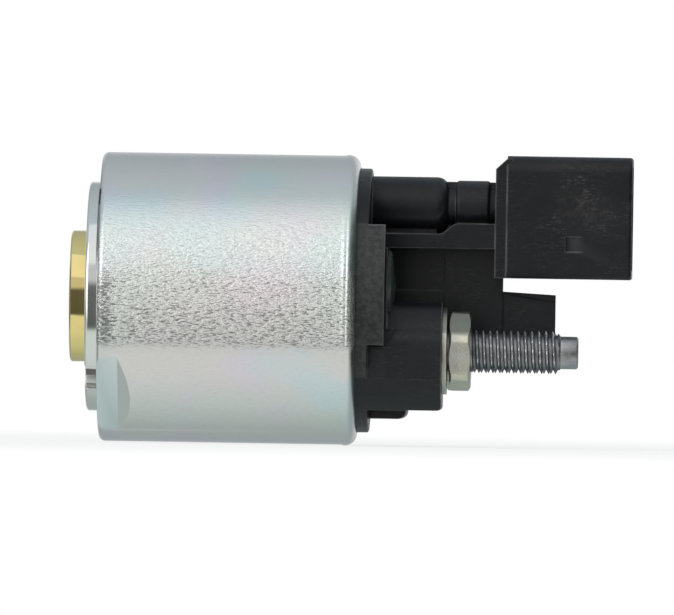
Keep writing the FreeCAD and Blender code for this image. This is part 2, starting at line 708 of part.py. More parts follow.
def make_contact_set():
    """Insulating bush, copper bridge, insulating washer and clip, in a stack on the rod."""
    hole = d.rod_radius + d.seat_gap
    tube = d.insulator_tube_radius
    bush_end = bridge_front + d.bridge_thickness + d.seat_gap
    turned_piece("bridge_insulator", (
        (bridge_front - d.insulator_thickness, hole),
        (bridge_front - d.insulator_thickness, d.insulator_radius),
        (bridge_front, d.insulator_radius),
        (bridge_front, tube),
        (bush_end, tube),
        (bush_end, hole),
    ))
    make_bridge()
    washer_end = bush_end + d.insulator_thickness
    ring("bridge_washer", bush_end, washer_end, hole, d.insulating_washer_radius)
    ring("rod_clip", washer_end, washer_end + d.clip_thickness, hole, d.clip_radius)


def make_bridge():
    body = new_body("contact_bridge")
    sketch = new_sketch(body, "YZ_Plane", bridge_front)
    across, up = d.bridge_half_length, d.bridge_half_height
    corner = up * 0.6
    add_outline(sketch, (
        (-across, -up, corner),
        (across, -up, corner),
        (across, up, corner),
        (-across, up, corner),
    ))
    extrude(body, sketch, d.bridge_thickness, "bar")
    cut_hole(body, "rod_hole", bridge_front - 1, d.bridge_thickness + 2,
             d.insulator_tube_radius + d.seat_gap)


def make_springs():
    length = nose + d.spring_seat_depth - plunger_floor
    coil_spring("plunger_return_spring", plunger_floor, length,
                d.return_wire, d.return_spring_radius, d.return_turns)
    coil_spring("contact_pressure_spring", spring_front, d.pressure_spring_length,
                d.pressure_wire, d.pressure_spring_radius, d.pressure_turns)
    coil_spring("contact_return_spring", clip_back, spring_pocket_floor - clip_back,
                d.contact_wire, d.contact_spring_radius, d.contact_turns)


def make_cap():
    body = new_body("terminal_cap")
    inner_floor = d.cap_back - d.cap_floor
    skirt = plate_back + d.gasket_thickness + d.seat_gap
    shoulder = d.can_back - d.lip_thickness - d.seat_gap
    revolve(body, (
        (skirt, d.chamber_radius),
        (skirt, d.cap_shoulder_radius),
        (shoulder, d.cap_shoulder_radius),
        (shoulder, d.cap_rim_radius),
        (d.cap_back, d.cap_rim_radius, d.cap_rim_round),
        (d.cap_back, 0),
        (inner_floor, 0),
        (inner_floor, d.chamber_radius),
    ), "cup")
    add_terminal_block(body)
    add_duct(body)
    add_socket(body)
    cut_contact_chamber(body, inner_floor)


def add_terminal_block(body):
    """Plinth, rim walls, block, foot and bosses, trimmed flush with the flange."""
    root = d.cap_back - d.cap_rim_round * 2
    pad_box(body, "plinth", root, d.plinth_back - root,
            (-d.plinth_half_width, d.plinth_half_width), (d.plinth_low, d.plinth_high))
    for name, sign in (("near", -1), ("far", 1)):
        inside = d.rim_wall_inside * sign
        outside = (d.cap_rim_radius + 1) * sign
        sides = (outside, inside) if sign < 0 else (inside, outside)
        pad_box(body, f"{name}_rim_wall", root, d.rim_wall_back - root,
                sides, (d.rim_wall_low, d.rim_wall_high))
    pad_profile(body, "block", (
        (root, d.block_bottom),
        (d.terminal_face, d.block_bottom, d.block_corner_round),
        (d.terminal_face, d.block_top),
        (d.cap_back + d.block_shoulder_rise + d.block_shoulder_run, d.block_top),
        (d.cap_back + d.block_shoulder_rise, d.block_shoulder),
        (root, d.block_shoulder),
    ), d.block_half_width * 2)
    round_edges(body, "block_top_rounds", d.block_top_round, lambda edge: (
        along_x(edge)
        and near(abs(edge.BoundBox.YMin), d.block_half_width)
        and near(edge.BoundBox.ZMin, d.block_top)
    ))
    pad_profile(body, "foot", (
        (root, d.foot_bottom),
        (d.cap_back + d.foot_length, d.foot_bottom, d.foot_round),
        (d.cap_back + d.foot_length, d.block_bottom + 1),
        (root, d.block_bottom + 1),
    ), d.foot_half_width * 2)
    sketch = new_sketch(body, "YZ_Plane", root)
    add_circle(sketch, d.cap_rim_radius)
    add_circle(sketch, d.can_radius * 2)
    extrude(body, sketch, d.terminal_face - root + 1, "flush_trim", "Pocket")
    for name, side in (("near", -d.stud_half_spacing), ("far", d.stud_half_spacing)):
        sketch = new_sketch(body, "YZ_Plane", root)
        add_circle(sketch, d.boss_radius, side, d.stud_height)
        extrude(body, sketch, d.terminal_face - root, f"{name}_boss")
    cut_box(body, "motor_setback", d.terminal_face - d.motor_setback, d.motor_setback + 1,
            (0, d.can_radius), (-d.can_radius, d.stud_height + d.boss_radius + 1))


def add_duct(body):
    """Round duct with a neck, on a stem and a stepped ledge, with the web and partition below."""
    root = d.cap_back - d.cap_rim_round * 2
    into = d.shoulder_front + 1
    step_end = d.ledge_step + d.ledge_step_run
    pad_profile(body, "ledge", (
        (root, d.ledge_low),
        (into, d.ledge_low),
        (into, d.ledge_back_top),
        (step_end, d.ledge_back_top, d.ledge_step_round),
        (d.ledge_step, d.ledge_front_top, d.ledge_step_round),
        (root, d.ledge_front_top),
    ), d.ledge_half_width * 2)
    pad_box(body, "stem", root, d.ledge_step - 1 - root,
            (-d.stem_half_width, d.stem_half_width), (d.ledge_low, d.duct_height))
    pad_box(body, "spine", root, into - root,
            (-d.spine_half_width, d.spine_half_width), (d.ledge_low, d.spine_top))
    revolve(body, (
        (root, 0),
        (root, d.duct_radius),
        (d.duct_back, d.duct_radius, d.duct_round),
        (d.duct_back, d.neck_root_radius),
        (d.neck_front, d.neck_root_radius),
        (d.neck_front, d.neck_radius, d.neck_round),
        (d.neck_back, d.neck_radius, d.neck_round),
        (d.neck_back, d.neck_root_radius),
        (into, d.neck_root_radius),
        (into, 0),
    ), "duct", d.duct_height)
    web_top = d.ledge_low + 1
    pad_box(body, "web_root", root, d.web_back - root,
            (-d.web_root_half_width, d.web_root_half_width), (d.tongue_low, web_top))
    pad_box(body, "web", d.terminal_face, d.web_back - d.terminal_face,
            (-d.web_half_width, d.web_half_width), (d.tongue_low, web_top))
    top = d.tongue_high - d.tongue_fall
    pad_profile(body, "partition_top", (
        (root, d.tongue_low),
        (d.tongue_back, d.tongue_low),
        (d.tongue_back, top),
        (d.web_back, d.tongue_high),
        (root, d.tongue_high),
    ), d.tongue_top_half_width * 2)
    pad_profile(body, "partition", (
        (root, d.tongue_low),
        (d.tongue_back, d.tongue_low),
        (d.tongue_back, top - d.tongue_bevel),
        (d.web_back - d.tongue_bevel_start, d.tongue_high),
        (root, d.tongue_high),
    ), d.tongue_half_width * 2)


def add_socket(body):
    """Shoulder and shroud of the plug socket, its cavity and the pockets of the latches."""
    side = d.socket_half_width - d.shoulder_inset
    pad_profile(body, "shoulder", (
        (d.shoulder_front, d.socket_low),
        (d.socket_front + 1, d.socket_low),
        (d.socket_front + 1, d.socket_high - d.shoulder_inset),
        (d.socket_front, d.socket_high - d.shoulder_inset),
        (d.shoulder_front, d.socket_high - d.shoulder_inset - d.shoulder_chamfer),
    ), side * 2)
    sketch = new_sketch(body, "YZ_Plane", d.socket_front)
    across = d.socket_half_width
    add_outline(sketch, (
        (-across, d.socket_low, d.socket_low_round),
        (across, d.socket_low, d.socket_low_round),
        (across, d.socket_high, d.socket_top_round),
        (-across, d.socket_high, d.socket_top_round),
    ))
    extrude(body, sketch, d.socket_back - d.socket_front, "shroud")
    round_edges(body, "mouth_round", d.mouth_round, lambda edge: (
        near(edge.BoundBox.XMin, d.socket_back) and near(edge.BoundBox.XMax, d.socket_back)
    ))
    sketch = new_sketch(body, "YZ_Plane", d.socket_back - d.socket_depth)
    across = across - d.socket_wall
    top_round = d.socket_top_round - d.socket_wall
    add_outline(sketch, (
        (-across, d.socket_low + d.socket_wall),
        (across, d.socket_low + d.socket_wall),
        (across, d.socket_high - d.socket_wall, top_round),
        (-across, d.socket_high - d.socket_wall, top_round),
    ))
    extrude(body, sketch, d.socket_depth + 1, "cavity", "Pocket")
    for side_name, sign in (("near", 1), ("far", -1)):
        cut_latch_pocket(body, side_name, sign)
    gap = d.seat_gap
    for height in blade_heights:
        cut_box(body, "blade_slot", blade_front - gap, d.blade_root + gap + 1,
                (-d.blade_half_thickness - gap, d.blade_half_thickness + gap),
                (height - d.blade_half_height - gap, height + d.blade_half_height + gap))


def cut_latch_pocket(body, name, sign):
    """A pocket that is deep at its front and ramps out towards the mouth."""
    sketch = new_sketch(body, "XY_Plane", d.latch_low)
    outer = (d.socket_half_width + 1) * -sign
    face = d.socket_half_width * -sign
    floor = (d.socket_half_width - d.latch_depth) * -sign
    back = d.latch_front + d.latch_length
    add_outline(sketch, (
        (d.latch_front, outer),
        (d.latch_front, floor),
        (d.latch_front + d.latch_length * 0.4, floor),
        (back, face),
        (back, outer),
    ))
    extrude(body, sketch, d.latch_high - d.latch_low, f"{name}_latch_pocket", "Pocket")


def cut_contact_chamber(body, inner_floor):
    """Pocket that the bridge moves in, with seats for the stud heads and their studs."""
    room = head_front + 0.6 - inner_floor
    cut_box(body, "bridge_room", inner_floor, room,
            (-d.bridge_half_length - 1, d.bridge_half_length + 1),
            (-d.bridge_half_height - 1, d.bridge_half_height + 1))
    gap = d.seat_gap
    for side in stud_sides:
        cut_box(body, "head_seat", inner_floor, head_back - inner_floor,
                (side - d.stud_head_half_width - gap, side + d.stud_head_half_width + gap),
                (d.stud_height - d.stud_head_low - gap, d.stud_height + d.stud_head_high + gap))
        cut_hole(body, "seal_seat", head_back, d.seal_thickness + gap, d.seal_radius + gap,
                 side, d.stud_height)
        cut_hole(body, "stud_hole", head_back, d.terminal_face - head_back + 1,
                 d.stud_radius + gap, side, d.stud_height)
    cut_hole(body, "spring_pocket", inner_floor, spring_pocket_floor - inner_floor,
             d.contact_spring_pocket)
    cut_hole(body, "lead_hole", inner_floor, d.plinth_back - inner_floor + 1,
             d.lead_radius + gap, d.lead_side, d.lead_height)


def make_terminal(name, side, setback):
    """A stud with its head, seal, washer and nut."""
    face = d.terminal_face - setback
    washer_back = face + d.seat_gap + d.washer_thickness
    nut_front = washer_back + d.washer_slack
    thread_start = nut_front + d.nut_thickness + d.running_gap
    thread_end = d.stud_thread_end - setback
    body = new_body(f"{name}_stud", side, d.stud_height)
    pad_box(body, "head", head_front, d.stud_head_thickness,
            (-d.stud_head_half_width, d.stud_head_half_width),
            (-d.stud_head_low, d.stud_head_high))
    revolve(body, (
        (head_back - 1, 0),
        (head_back - 1, d.stud_shank_radius),
        (thread_start, d.stud_shank_radius),
        (thread_start, d.stud_radius),
        (thread_end - d.stud_chamfer, d.stud_radius),
        (thread_end, d.stud_tip_radius),
        (d.stud_end - setback - d.stud_chamfer / 2, d.stud_tip_radius),
        (d.stud_end - setback, d.stud_tip_radius - d.stud_chamfer / 2),
        (d.stud_end - setback, 0),
    ), "shank")
    hole = d.stud_shank_radius + d.seat_gap
    ring(f"{name}_stud_seal", head_back + d.seat_gap, head_back + d.seal_thickness,
         hole, d.seal_radius, side, d.stud_height)
    ring(f"{name}_washer", face + d.seat_gap, washer_back,
         d.stud_radius + d.washer_play, d.washer_radius, side, d.stud_height)
    make_nut(f"{name}_nut", nut_front, hole, side)


def make_nut(label, start, hole, side):
    """A hexagon cut from a turned blank whose corners are chamfered at both ends."""
    half_flats = d.nut_across_flats / 2
    corner_radius = d.nut_corner_radius
    end = start + d.nut_thickness
    body = turned_piece(label, (
        (start, hole),
        (start, half_flats),
        (start + d.nut_chamfer, corner_radius),
        (end - d.nut_chamfer, corner_radius),
        (end, half_flats),
        (end, hole),
    ), side, d.stud_height)
    sketch = new_sketch(body, "YZ_Plane", start - 1)
    add_outline(sketch, box_corners(-corner_radius, corner_radius, half_flats, corner_radius + 1))
    flat = extrude(body, sketch, d.nut_thickness + 2, "flat", "Pocket")
    repeat_round(body, flat, 6, "flats")
    turn = Rotation(Vector(1, 0, 0), d.nut_turn.value)
    body.Placement = Placement(body.Placement.Base, turn)
    bind(body, "Placement.Rotation.Angle", d.nut_turn)


def make_blade(label, height):
    """A flat pin whose tip tapers on its broad sides."""
    body = new_body(label)
    half = d.blade_half_height
    tip = half - d.blade_point / 2
    sketch = new_sketch(body, "XZ_Plane")
    add_outline(sketch, (
        (blade_front, height - half),
        (blade_back - d.blade_point, height - half),
        (blade_back, height - tip),
        (blade_back, height + tip),
        (blade_back - d.blade_point, height + half),
        (blade_front, height + half),
    ))
    extrude(body, sketch, d.blade_half_thickness * 2, "blade", both_ways=True)


def make_lead():
    """Straight wire from the bobbin's flange up into the resin."""
    start = d.can_seat - d.bobbin_flange - d.seat_gap
    end = d.plinth_back + d.resin_crown / 4
    turned_piece("coil_lead", (
        (start, 0),
        (start, d.lead_radius),
        (end, d.lead_radius),
        (end, 0),
    ), d.lead_side, d.lead_height)


def make_resin():
    """A low crown of resin on the plinth, trimmed beside the stud's boss."""
    body = new_body("potting_resin", d.resin_side, d.resin_height)
    start = d.plinth_back + d.seat_gap
    revolve(body, (
        (start, 0),
        (start, d.resin_radius),
        (start + d.resin_crown / 2, d.resin_radius - d.resin_crown / 2, d.resin_crown),
        (start + d.resin_crown, 0),
    ), "crown")
    sketch = new_sketch(body, "YZ_Plane", start - 1)
    add_circle(sketch, d.boss_radius + d.seat_gap,
               -d.stud_half_spacing - d.resin_side, d.stud_height - d.resin_height)
    extrude(body, sketch, d.resin_crown + 2, "boss_trim", "Pocket")
    cut_hole(body, "lead_hole", start - 1, d.resin_crown / 4 + 1 + d.seat_gap,
             d.lead_radius + d.seat_gap, d.lead_side - d.resin_side, d.lead_height - d.resin_height)


def check_and_write():
    """Every object must be sound before the pieces are written."""
    doc.recompute()
    for item in doc.Objects:
        if "Invalid" in item.State or "Error" in item.State:
            raise ValueError(f"{item.Label} is {item.State}")
    os.makedirs("parts", exist_ok=True)
    for item in doc.Objects:
        if item.TypeId != "PartDesign::Body":
            continue
        if item.Shape.isNull() or not item.Shape.isValid() or len(item.Shape.Solids) != 1:
            raise ValueError(f"{item.Label} is not one sound solid")
        item.Shape.exportStep(f"parts/{item.Label}.step")


doc = FreeCAD.newDocument("starter_solenoid")
d = make_sheet()

# Places that several pieces share
plate_back = d.can_seat + d.plate_thickness
nose = d.plunger_recess - d.sleeve_stand + d.plunger_length + d.plunger_travel + d.core_gap
plunger_floor = d.plunger_recess - d.sleeve_stand + d.plunger_length - d.plunger_bore_depth
rod_front = plunger_floor + d.plunger_travel + d.rod_nose_gap - d.contact_travel
spring_front = plate_back + d.collar_gap + d.collar_thickness
bridge_front = spring_front + d.pressure_spring_length + d.insulator_thickness
bridge_back = bridge_front + d.bridge_thickness
clip_back = bridge_back + d.seat_gap + d.insulator_thickness + d.clip_thickness
rod_back = clip_back + d.rod_end_length
head_front = bridge_back + d.seat_gap + d.contact_travel + d.stud_head_gap
head_back = head_front + d.stud_head_thickness
spring_pocket_floor = rod_back + d.contact_travel + 1.1
stud_sides = (-d.stud_half_spacing, d.stud_half_spacing)
socket_middle = (d.socket_low + d.socket_high) / 2
blade_heights = (socket_middle - d.blade_half_spacing, socket_middle + d.blade_half_spacing)
blade_front = d.socket_back - d.socket_depth - d.blade_root
blade_back = d.socket_back - d.blade_inset

make_casing()
make_sleeve()
make_plunger()
make_core()
make_pole_plate()
make_coil()
make_contact_rod()
make_contact_set()
make_springs()
ring("cap_gasket", plate_back + d.seat_gap, plate_back + d.gasket_thickness,
     d.cap_shoulder_radius - d.gasket_width, d.cap_shoulder_radius)
make_cap()
make_terminal("battery", -d.stud_half_spacing, as_size(0))
make_terminal("motor", d.stud_half_spacing, d.motor_setback)
for blade_name, blade_height in zip(("coil_blade", "signal_blade"), blade_heights):
    make_blade(blade_name, blade_height)
make_lead()
make_resin()
check_and_write()
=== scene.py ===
"""Looks of a starter solenoid: a zinc plated can with a black moulded terminal cap."""
import json
import math

import bpy
import numpy as np
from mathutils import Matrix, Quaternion, Vector


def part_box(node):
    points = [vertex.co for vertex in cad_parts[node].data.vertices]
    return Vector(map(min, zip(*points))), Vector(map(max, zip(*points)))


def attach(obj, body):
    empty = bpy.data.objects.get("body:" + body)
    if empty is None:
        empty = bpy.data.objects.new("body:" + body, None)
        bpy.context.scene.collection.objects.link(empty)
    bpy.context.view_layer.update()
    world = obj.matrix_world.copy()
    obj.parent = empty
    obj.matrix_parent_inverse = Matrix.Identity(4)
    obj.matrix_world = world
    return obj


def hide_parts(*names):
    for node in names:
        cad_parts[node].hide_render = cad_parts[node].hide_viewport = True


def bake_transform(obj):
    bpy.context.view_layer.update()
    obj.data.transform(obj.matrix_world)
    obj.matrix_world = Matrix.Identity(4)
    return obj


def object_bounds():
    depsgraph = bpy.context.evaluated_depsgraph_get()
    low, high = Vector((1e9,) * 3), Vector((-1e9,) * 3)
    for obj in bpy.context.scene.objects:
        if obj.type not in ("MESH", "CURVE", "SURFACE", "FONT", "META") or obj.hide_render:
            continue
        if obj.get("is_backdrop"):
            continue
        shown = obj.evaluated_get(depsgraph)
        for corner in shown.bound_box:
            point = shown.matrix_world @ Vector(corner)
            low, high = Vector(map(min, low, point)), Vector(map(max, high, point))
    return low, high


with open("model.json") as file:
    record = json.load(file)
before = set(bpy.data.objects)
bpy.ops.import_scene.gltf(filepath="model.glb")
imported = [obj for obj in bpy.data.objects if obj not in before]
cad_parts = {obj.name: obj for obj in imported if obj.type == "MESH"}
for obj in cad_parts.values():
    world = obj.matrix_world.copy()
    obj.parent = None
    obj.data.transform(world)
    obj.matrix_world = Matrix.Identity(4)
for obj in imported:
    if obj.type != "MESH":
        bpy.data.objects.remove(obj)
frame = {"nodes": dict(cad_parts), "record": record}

MM = 0.001
nodes = frame["nodes"]
cad_low, cad_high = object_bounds()

# Terminal studs in millimetres: axes beside and below the can's, M8 x 1.25 thread as rolled, tip,
# and shank; INNER_RING is the share of the radius where the fans that close the ends begin
STUD_ASIDE = 10.0
STUD_UP = -8.85
THREAD_PITCH = 1.25
THREAD_RADIUS = 3.88
THREAD_DEPTH = 0.767
CREST_SHARE = 0.02
ROOT_SHARE = 0.36
STEPS_A_PITCH = 14
STEPS_ROUND = 64
TIP_RADIUS = 2.92
TIP_LENGTH = 3.1
TIP_ROUND = 0.3
INNER_RING = 0.5
SHANK_START = 3.0
SHANK_RADIUS = 3.6
RUN_OUT = 0.5
END_CHAMFER = 0.8

# Springs that a moving body presses together: node, moving body, wire radius in mm and turns
PRESSED_SPRINGS = (
    ("plunger_return_spring", "plunger", 0.6, 6.0),
    ("contact_return_spring", "contact_set", 0.3, 3.0),
)
STEPS_A_TURN = 40
WIRE_SIDES = 12

# Milled flat on the can: angle below the horizontal, and depth from the axis
FLAT_ANGLE = math.radians(46)
FLAT_LEVEL = 24.3

# Relief of the can's plating and of its rolled lip, in millimetres
GRAIN_HEIGHT = 0.20
LIP_HEIGHT = 0.16

# Where zones of the can fade in or out, in millimetres along its axis
# The first two bound the painted shade in the corner behind the face's rim
CORNER_SHADE_FRONT = (1.8, 2.05)
CORNER_SHADE_BACK = (2.62, 2.45)
RIM_BACK = (2.35, 2.5)
PITTED_EDGE = (6.0, 3.6)
FLAT_BACK = (6.3, 6.0)
LIP_STEP = (46.9, 47.35)
LIP_SLOPE = (47.45, 48.6)

# The same up or down from its axis
BAND_FOOT = (-9.6, -7.4)
BAND_SHOULDER = (1.5, 6.0)
BAND_TOP = (9.0, 20.0)
# Where the painted shade in the corner behind the rim fades in, going up
CORNER_SHADE_FOOT = (4.0, 9.0)
PITTED_EDGE_TOP = (7.0, 3.0)
# Where the painted shade on the nuts' upper faces begins
NUT_UPPER_FACES = (-6.0, -5.2)

# The cap's rim walls, and the place where the socket is gripped. Distances from it are taken in side
# view with heights stretched by 1.3, so 22 stands for 16.9 mm above the can's axis
WALL_FRONT = (54.2, 53.9)
WALL_ASIDE = (19.1, 19.5)
GRIP_SQUEEZE = (1.0, 0.0, 1.3)
GRIP_PLACE = (89.0, 0.0, 22.0)

# A wave texture's scale for wire 0.9 mm apart: its bands repeat every 1 / (3.18 x scale)
WIRE_WAVE_SCALE = 1000.0 / 0.9 / 3.18

# Camera, measured from the photograph
IMAGE_WIDTH_PX = 674
MM_A_PIXEL = 0.18
CAMERA_DISTANCE = 5.0
CAMERA_TURN = 1.6
CAMERA_ROLL = 0.93
TARGET = Vector((44.76 * MM, 0, -1.345 * MM))


# Meshes

def surface_from_grid(name, points, material):
    """A closed skin from a grid of points (rows along, columns round) with a point at each end.

    Row i, column j is joined to row i + 1 and column j + 1, the last column to the first,
    and the centre of the first and of the last row closes each end with a fan.
    """
    rows, columns = points.shape[:2]
    near = points[0].mean(axis=0)
    far = points[-1].mean(axis=0)
    vertices = np.vstack([points.reshape(-1, 3), near, far])
    index = np.arange(rows * columns).reshape(rows, columns)
    after = np.roll(index, -1, axis=1)
    quads = np.stack([index[:-1], after[:-1], after[1:], index[1:]], axis=-1).reshape(-1, 4)
    start = rows * columns
    fan_near = np.stack([np.full(columns, start), after[0], index[0]], axis=-1)
    fan_far = np.stack([np.full(columns, start + 1), index[-1], after[-1]], axis=-1)
    mesh = bpy.data.meshes.new(name)
    mesh.from_pydata((vertices * MM).tolist(), [], quads.tolist() + fan_near.tolist() + fan_far.tolist())
    mesh.polygons.foreach_set("use_smooth", np.ones(len(mesh.polygons), dtype=bool))
    mesh.update()
    piece = bpy.data.objects.new(name, mesh)
    bpy.context.scene.collection.objects.link(piece)
    mesh.materials.append(material)
    return piece


def soften(piece, angle):
    """Joins a piece's loose triangles, and shades it smooth except at edges sharper than angle."""
    piece.data.polygons.foreach_set("use_smooth", np.ones(len(piece.data.polygons), dtype=bool))
    weld = piece.modifiers.new("weld", "WELD")
    weld.merge_threshold = 2e-6
    split = piece.modifiers.new("split", "EDGE_SPLIT")
    split.split_angle = math.radians(angle)
    normals = piece.modifiers.new("normals", "WEIGHTED_NORMAL")
    normals.keep_sharp = True
    normals.weight = 60


def head_radius(angle, low, high):
    """Distance from the stud's axis to the walls of its bar head, at each angle round the axis.

    The nearest of the two walls that a ray from the axis meets: wall / cosine and wall / sine.
    """
    across = np.cos(angle)
    up = np.sin(angle)
    side = np.where(across > 0, high[0], -low[0]) / np.maximum(np.abs(across), 1e-6)
    top = np.where(up > 0, high[1], -low[1]) / np.maximum(np.abs(up), 1e-6)
    return np.minimum(side, top)


def thread_radius(along, angle):
    """Radius of a right-handed thread: a wave along the stud that turns once with each pitch.

    The wave's distance from the crest's middle, 0 to 1, becomes a depth that is flat over
    the crest's and the root's share and straight between them.
    """
    phase = along / THREAD_PITCH - angle / (2 * math.pi)
    from_crest = np.abs(2 * (phase - np.floor(phase)) - 1)
    depth = np.clip((from_crest - CREST_SHARE) / (1 - CREST_SHARE - ROOT_SHARE), 0, 1)
    return THREAD_RADIUS - THREAD_DEPTH * depth


def stud(side, material):
    """The whole stud as one polar grid: radius from its axis for each place along and angle.

    The thread starts behind the nut. Over the run-out it grows out of the plain shank, and at
    its end it is cut by a cone.
    """
    low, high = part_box(side + "_stud")
    low = np.array(low) / MM
    high = np.array(high) / MM
    axis_across = (low[1] + high[1]) / 2
    length = high[0] - low[0]
    thread_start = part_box(side + "_nut")[1][0] / MM - low[0]
    thread_end = length - TIP_LENGTH
    angle = np.linspace(0, 2 * math.pi, STEPS_ROUND, endpoint=False)
    head = head_radius(angle, low[1:] - (axis_across, STUD_UP), high[1:] - (axis_across, STUD_UP))
    count = int((thread_end - thread_start) / THREAD_PITCH * STEPS_A_PITCH)
    along = np.linspace(thread_start, thread_end, count)
    wave = thread_radius(along[:, None], angle[None, :])
    grown = np.clip((along - thread_start) / RUN_OUT, 0, 1)[:, None]
    wave = SHANK_RADIUS + (wave - SHANK_RADIUS) * grown
    cone = TIP_RADIUS + np.maximum(thread_end - along, 0) * (THREAD_RADIUS - TIP_RADIUS) / END_CHAMFER
    wave = np.minimum(wave, cone[:, None])
    shank = np.full(STEPS_ROUND, SHANK_RADIUS)
    tip = np.full(STEPS_ROUND, TIP_RADIUS)
    places = np.concatenate([[0, 0, SHANK_START, SHANK_START], along,
                             [length - TIP_ROUND, length, length]])
    radii = np.vstack([head * INNER_RING, head, head, shank, wave,
                       tip, tip - TIP_ROUND, tip * INNER_RING])
    points = np.empty((len(places), STEPS_ROUND, 3))
    points[:, :, 0] = low[0] + places[:, None]
    points[:, :, 1] = axis_across + radii * np.cos(angle)
    points[:, :, 2] = STUD_UP + radii * np.sin(angle)
    piece = surface_from_grid(side + "_threaded_stud", points, material)
    split = piece.modifiers.new("split", "EDGE_SPLIT")
    split.split_angle = math.radians(50)
    return piece


def pressed_spring(node, wire, turns, material):
    """A spring of round wire along X: a circle carried along a helix that fills the node's box.

    The helix runs at the box's outer radius less the wire's, from one wire radius behind the
    box's front to one before its back.
    """
    low, high = (np.array(corner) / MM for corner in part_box(node))
    mean_radius = high[2] - wire
    share = np.linspace(0, 1, int(turns * STEPS_A_TURN) + 1)
    angle = 2 * math.pi * turns * share
    around = np.linspace(0, 2 * math.pi, WIRE_SIDES, endpoint=False)
    radius = mean_radius + wire * np.cos(around)[None, :]
    along = low[0] + wire + share * (high[0] - low[0] - 2 * wire)
    points = np.empty((len(share), WIRE_SIDES, 3))
    points[:, :, 0] = along[:, None] + wire * np.sin(around)[None, :]
    points[:, :, 1] = radius * np.cos(angle)[:, None]
    points[:, :, 2] = radius * np.sin(angle)[:, None]
    return surface_from_grid(node + "_wire", points, material), low, high


# Shader node groups

def add_sockets(group, takes, gives):
    """Names a group's inputs with their defaults, and its outputs."""
    for name, kind, value in takes:
        socket = group.interface.new_socket(name, in_out="INPUT", socket_type=kind)
        if value is not None:
            socket.default_value = value
    for name, kind in gives:
        group.interface.new_socket(name, in_out="OUTPUT", socket_type=kind)
    return group.nodes.new("NodeGroupInput"), group.nodes.new("NodeGroupOutput")


def add_node(tree, kind, links=(), values=(), **settings):
    """A node with its settings, its sockets' values and the outputs linked to its sockets."""
    node = tree.nodes.new(kind)
    for key, value in settings.items():
        setattr(node, key, value)
    for socket, value in values:
        node.inputs[socket].default_value = value
    for socket, output in links:
        tree.links.new(output, node.inputs[socket])
    return node


def fade(tree, value, low, high, to_low=0.0, to_high=1.0):
    """A value carried from the range low to high onto to_low to to_high, smoothly."""
    node = add_node(tree, "ShaderNodeMapRange", links=[("Value", value)], interpolation_type="SMOOTHSTEP",
                    values=[("From Min", low), ("From Max", high), ("To Min", to_low), ("To Max", to_high)])
    return node.outputs["Result"]


def fade_linear(tree, value, low, high):
    """A value carried straight from low to high onto 0 to 1."""
    return add_node(tree, "ShaderNodeMapRange", links=[("Value", value)],
                    values=[("From Min", low), ("From Max", high)]).outputs["Result"]


def calculate(tree, operation, first, second):
    """A Math node on two outputs or numbers."""
    node = add_node(tree, "ShaderNodeMath", operation=operation)
    for socket, value in zip(node.inputs, (first, second)):
        if isinstance(value, (int, float)):
            socket.default_value = value
        else:
            tree.links.new(value, socket)
    return node.outputs["Value"]


def mix_colours(tree, factor, first, second):
    """A colour between two, each an output or three numbers."""
    node = add_node(tree, "ShaderNodeMix", data_type="RGBA")
    tree.links.new(factor, node.inputs[0])
    for socket, value in ((node.inputs[6], first), (node.inputs[7], second)):
        if isinstance(value, tuple):
            socket.default_value = (*value, 1.0)
        else:
            tree.links.new(value, socket)
    return node.outputs[2]


def grain_group():
    """Fine plated grain: two sizes of noise, stretched along the part's axis."""
    group = bpy.data.node_groups.new("plated_grain", "ShaderNodeTree")
    takes, gives = add_sockets(
        group,
        [("Vector", "NodeSocketVector", None), ("Grain size mm", "NodeSocketFloat", 0.3),
         ("Stretch", "NodeSocketFloat", 0.5)],
        [("Fine", "NodeSocketFloat"), ("Streaks", "NodeSocketFloat")])
    scale = calculate(group, "DIVIDE", 1 / MM, takes.outputs["Grain size mm"])
    stretch = add_node(group, "ShaderNodeCombineXYZ", values=[("Y", 1.0), ("Z", 1.0)],
                       links=[("X", takes.outputs["Stretch"])])
    vector = add_node(group, "ShaderNodeVectorMath", operation="MULTIPLY",
                      links=[(0, takes.outputs["Vector"]), (1, stretch.outputs["Vector"])]).outputs[0]
    fine = add_node(group, "ShaderNodeTexNoise", values=[("Detail", 2.0), ("Roughness", 0.7)],
                    links=[("Vector", vector), ("Scale", scale)])
    coarse_scale = calculate(group, "MULTIPLY", scale, 0.22)
    coarse = add_node(group, "ShaderNodeTexNoise", values=[("Detail", 3.0), ("Roughness", 0.7)],
                      links=[("Vector", vector), ("Scale", coarse_scale)])
    group.links.new(fine.outputs["Fac"], gives.inputs["Fine"])
    group.links.new(coarse.outputs["Fac"], gives.inputs["Streaks"])
    return group


